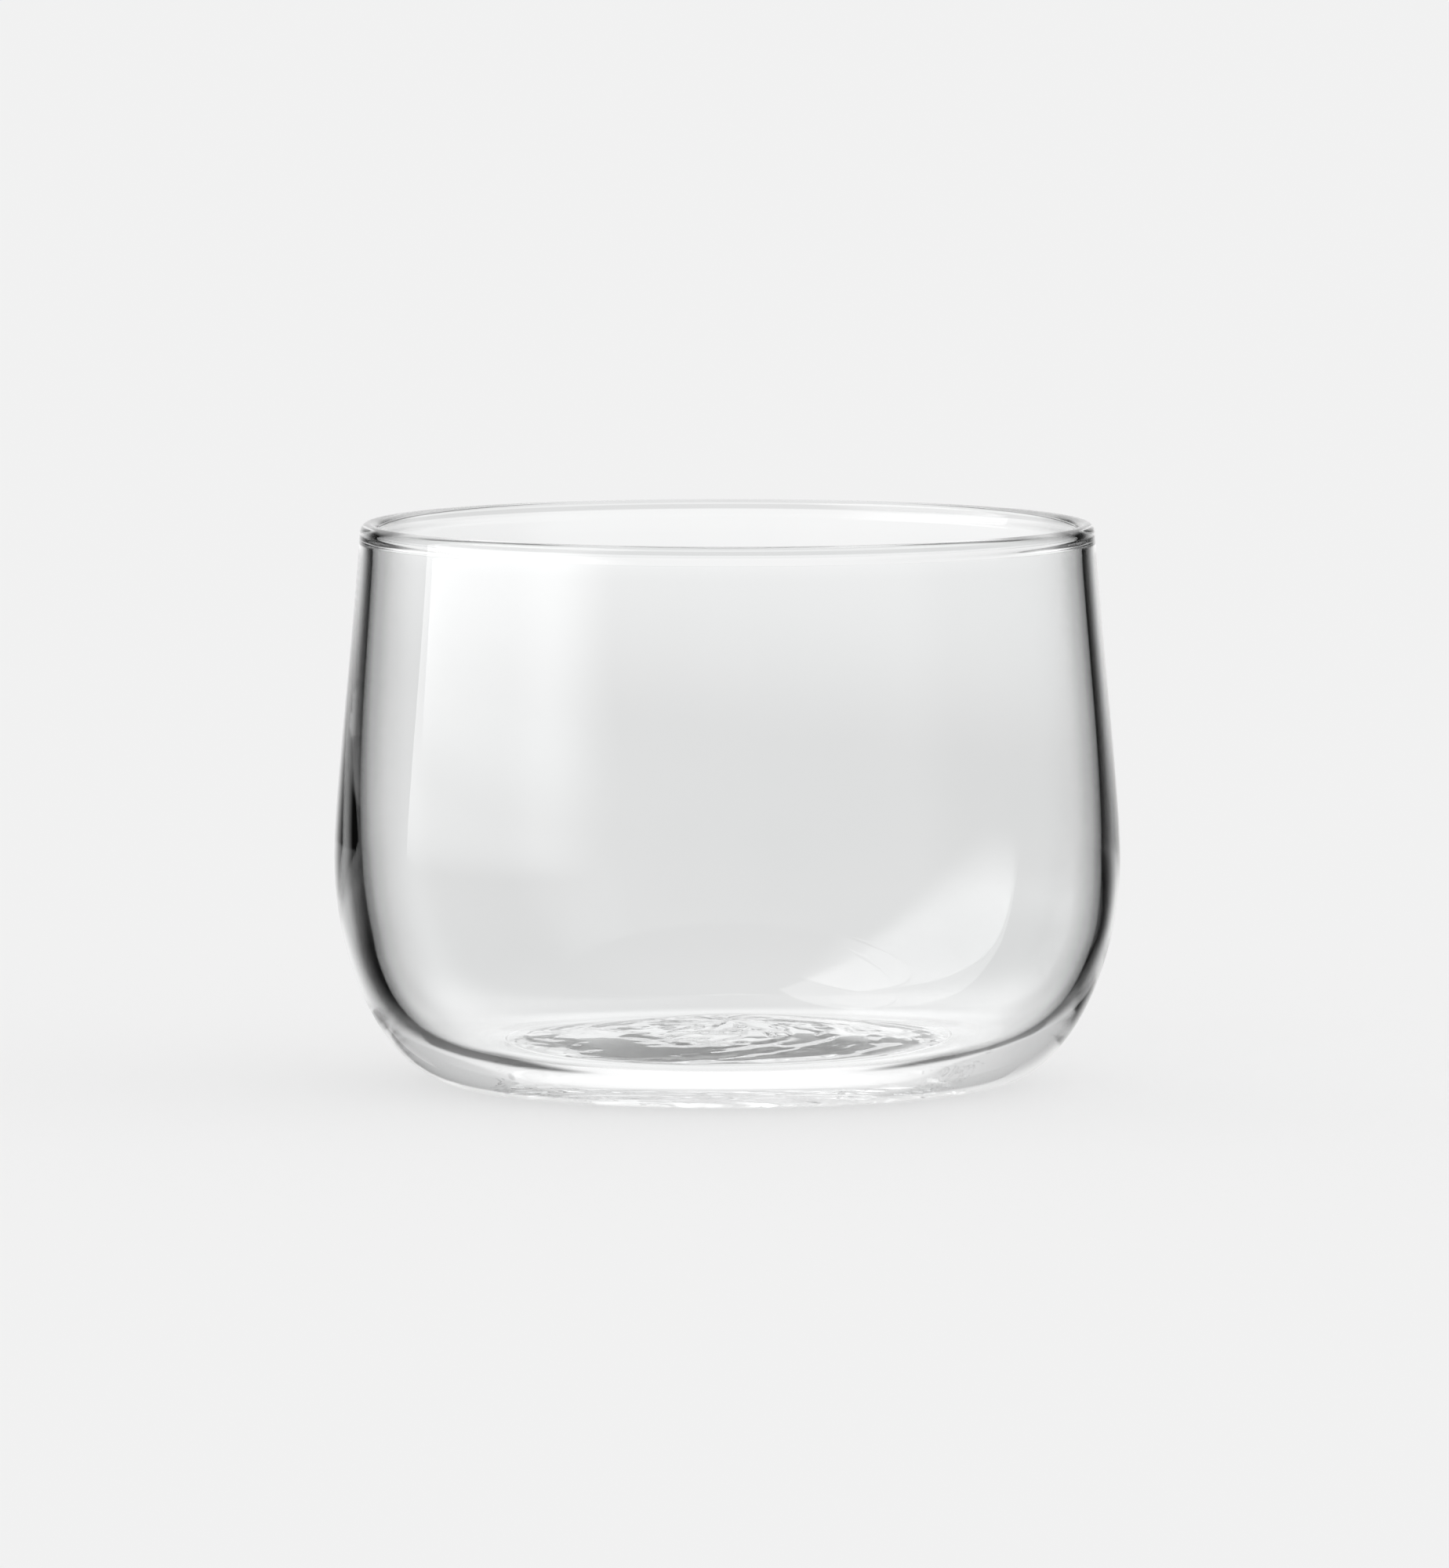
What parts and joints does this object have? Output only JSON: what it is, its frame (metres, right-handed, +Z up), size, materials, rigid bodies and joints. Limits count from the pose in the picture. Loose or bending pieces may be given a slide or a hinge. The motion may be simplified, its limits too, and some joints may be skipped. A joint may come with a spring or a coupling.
{
  "type": "espresso glass",
  "caption": "Low, handle-less espresso glass of clear blown glass, with a soft belly, a fire-polished rim bead and a kicked-up base that stands on a flat ring.",
  "frame": {"origin": "centre of the standing ring, on the table plane", "axes": "+Z up along the glass's axis, +X towards the side to which the cavity has wandered, away from the thicker heel"},
  "size_m": [0.07, 0.07, 0.05],
  "materials": {
    "clear_glass": "clear, blown, fire-polished"
  },
  "bodies": {
    "root": {"glass_body": "clear_glass"}
  },
  "joints": []
}
